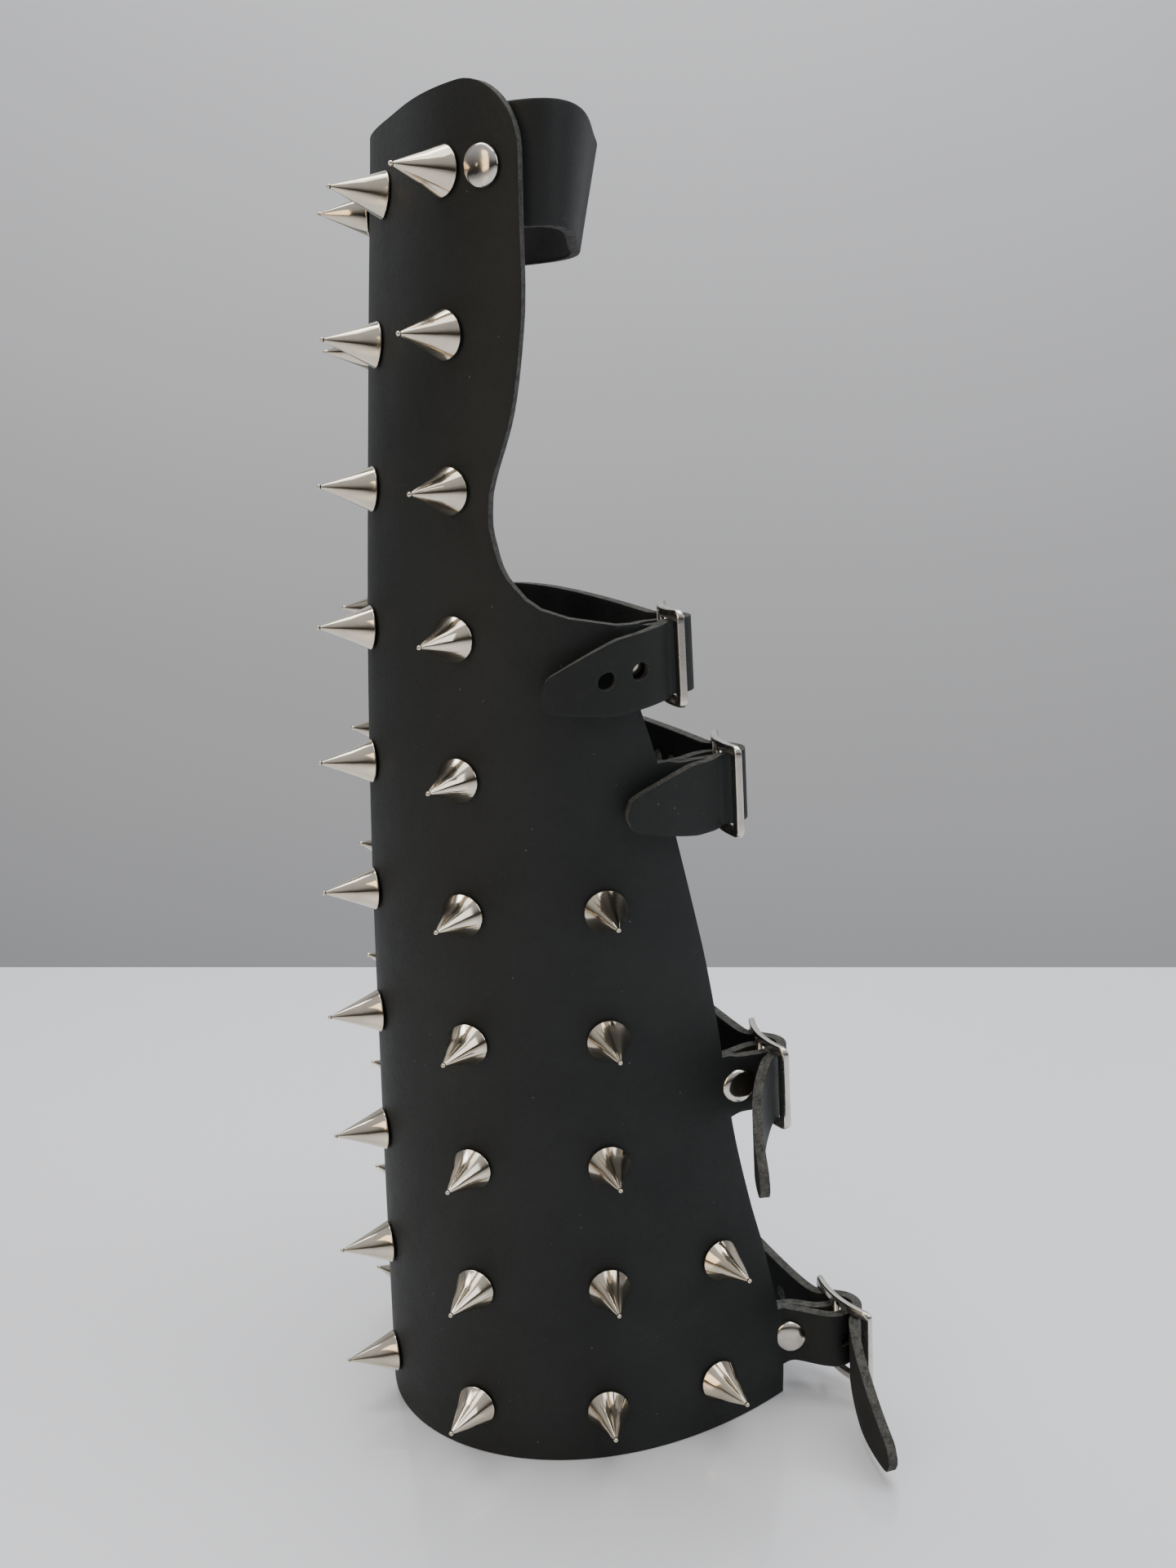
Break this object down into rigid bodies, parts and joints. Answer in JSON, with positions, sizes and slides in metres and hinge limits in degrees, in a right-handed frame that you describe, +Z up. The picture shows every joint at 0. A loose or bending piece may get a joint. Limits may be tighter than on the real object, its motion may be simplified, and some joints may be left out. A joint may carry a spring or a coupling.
{
  "type": "arm guard",
  "caption": "Spiked leather arm guard: curved shell over forearm and back of hand, rows of metal cone spikes, buckled wrist and arm straps, riveted hand loop.",
  "frame": {"origin": "middle of the bounding box on the ground that the wide elbow edge stands on", "axes": "+Z up towards the hand end, -X the way the ridge and its row of spikes face, +X the strapped opening, -Y the side with the buckles"},
  "size_m": [0.1332, 0.1556, 0.336],
  "materials": {
    "black_leather": "matt black grain with raw grey cut edges",
    "nickel_spike": "polished nickel plate",
    "nickel_rivet": "polished nickel plate",
    "nickel_buckle": "polished nickel plate with slight wear"
  },
  "bodies": {
    "root": {"leather-shell": "black_leather", "hand-strap": "black_leather", "hand-rivet-near": "nickel_rivet", "hand-rivet-far": "nickel_rivet", "tab-rivet-1": "nickel_rivet", "tab-rivet-2": "nickel_rivet", "tab-rivet-3": "nickel_rivet", "tab-rivet-4": "nickel_rivet", "buckle-frame-1": "nickel_buckle", "buckle-frame-2": "nickel_buckle", "buckle-frame-3": "nickel_buckle", "buckle-frame-4": "nickel_buckle", "buckle-prong-1": "nickel_buckle", "buckle-prong-2": "nickel_buckle", "buckle-prong-3": "nickel_buckle", "buckle-prong-4": "nickel_buckle", "spike-a1": "nickel_spike", "spike-a2": "nickel_spike", "spike-a3": "nickel_spike", "spike-a4": "nickel_spike", "spike-a5": "nickel_spike", "spike-a6": "nickel_spike", "spike-a7": "nickel_spike", "spike-a8": "nickel_spike", "spike-a9": "nickel_spike", "spike-a10": "nickel_spike", "spike-near-b1": "nickel_spike", "spike-near-b2": "nickel_spike", "spike-near-b3": "nickel_spike", "spike-near-b4": "nickel_spike", "spike-near-b5": "nickel_spike", "spike-near-b6": "nickel_spike", "spike-near-b7": "nickel_spike", "spike-near-b8": "nickel_spike", "spike-near-b9": "nickel_spike", "spike-near-b10": "nickel_spike", "spike-far-b1": "nickel_spike", "spike-far-b2": "nickel_spike", "spike-far-b3": "nickel_spike", "spike-far-b4": "nickel_spike", "spike-far-b5": "nickel_spike", "spike-far-b6": "nickel_spike", "spike-far-b7": "nickel_spike", "spike-far-b8": "nickel_spike", "spike-far-b9": "nickel_spike", "spike-far-b10": "nickel_spike", "spike-near-c6": "nickel_spike", "spike-near-c7": "nickel_spike", "spike-near-c8": "nickel_spike", "spike-near-c9": "nickel_spike", "spike-near-c10": "nickel_spike", "spike-far-c6": "nickel_spike", "spike-far-c7": "nickel_spike", "spike-far-c8": "nickel_spike", "spike-far-c9": "nickel_spike", "spike-far-c10": "nickel_spike", "spike-near-d9": "nickel_spike", "spike-near-d10": "nickel_spike", "spike-far-d9": "nickel_spike", "spike-far-d10": "nickel_spike"}
  },
  "joints": []
}
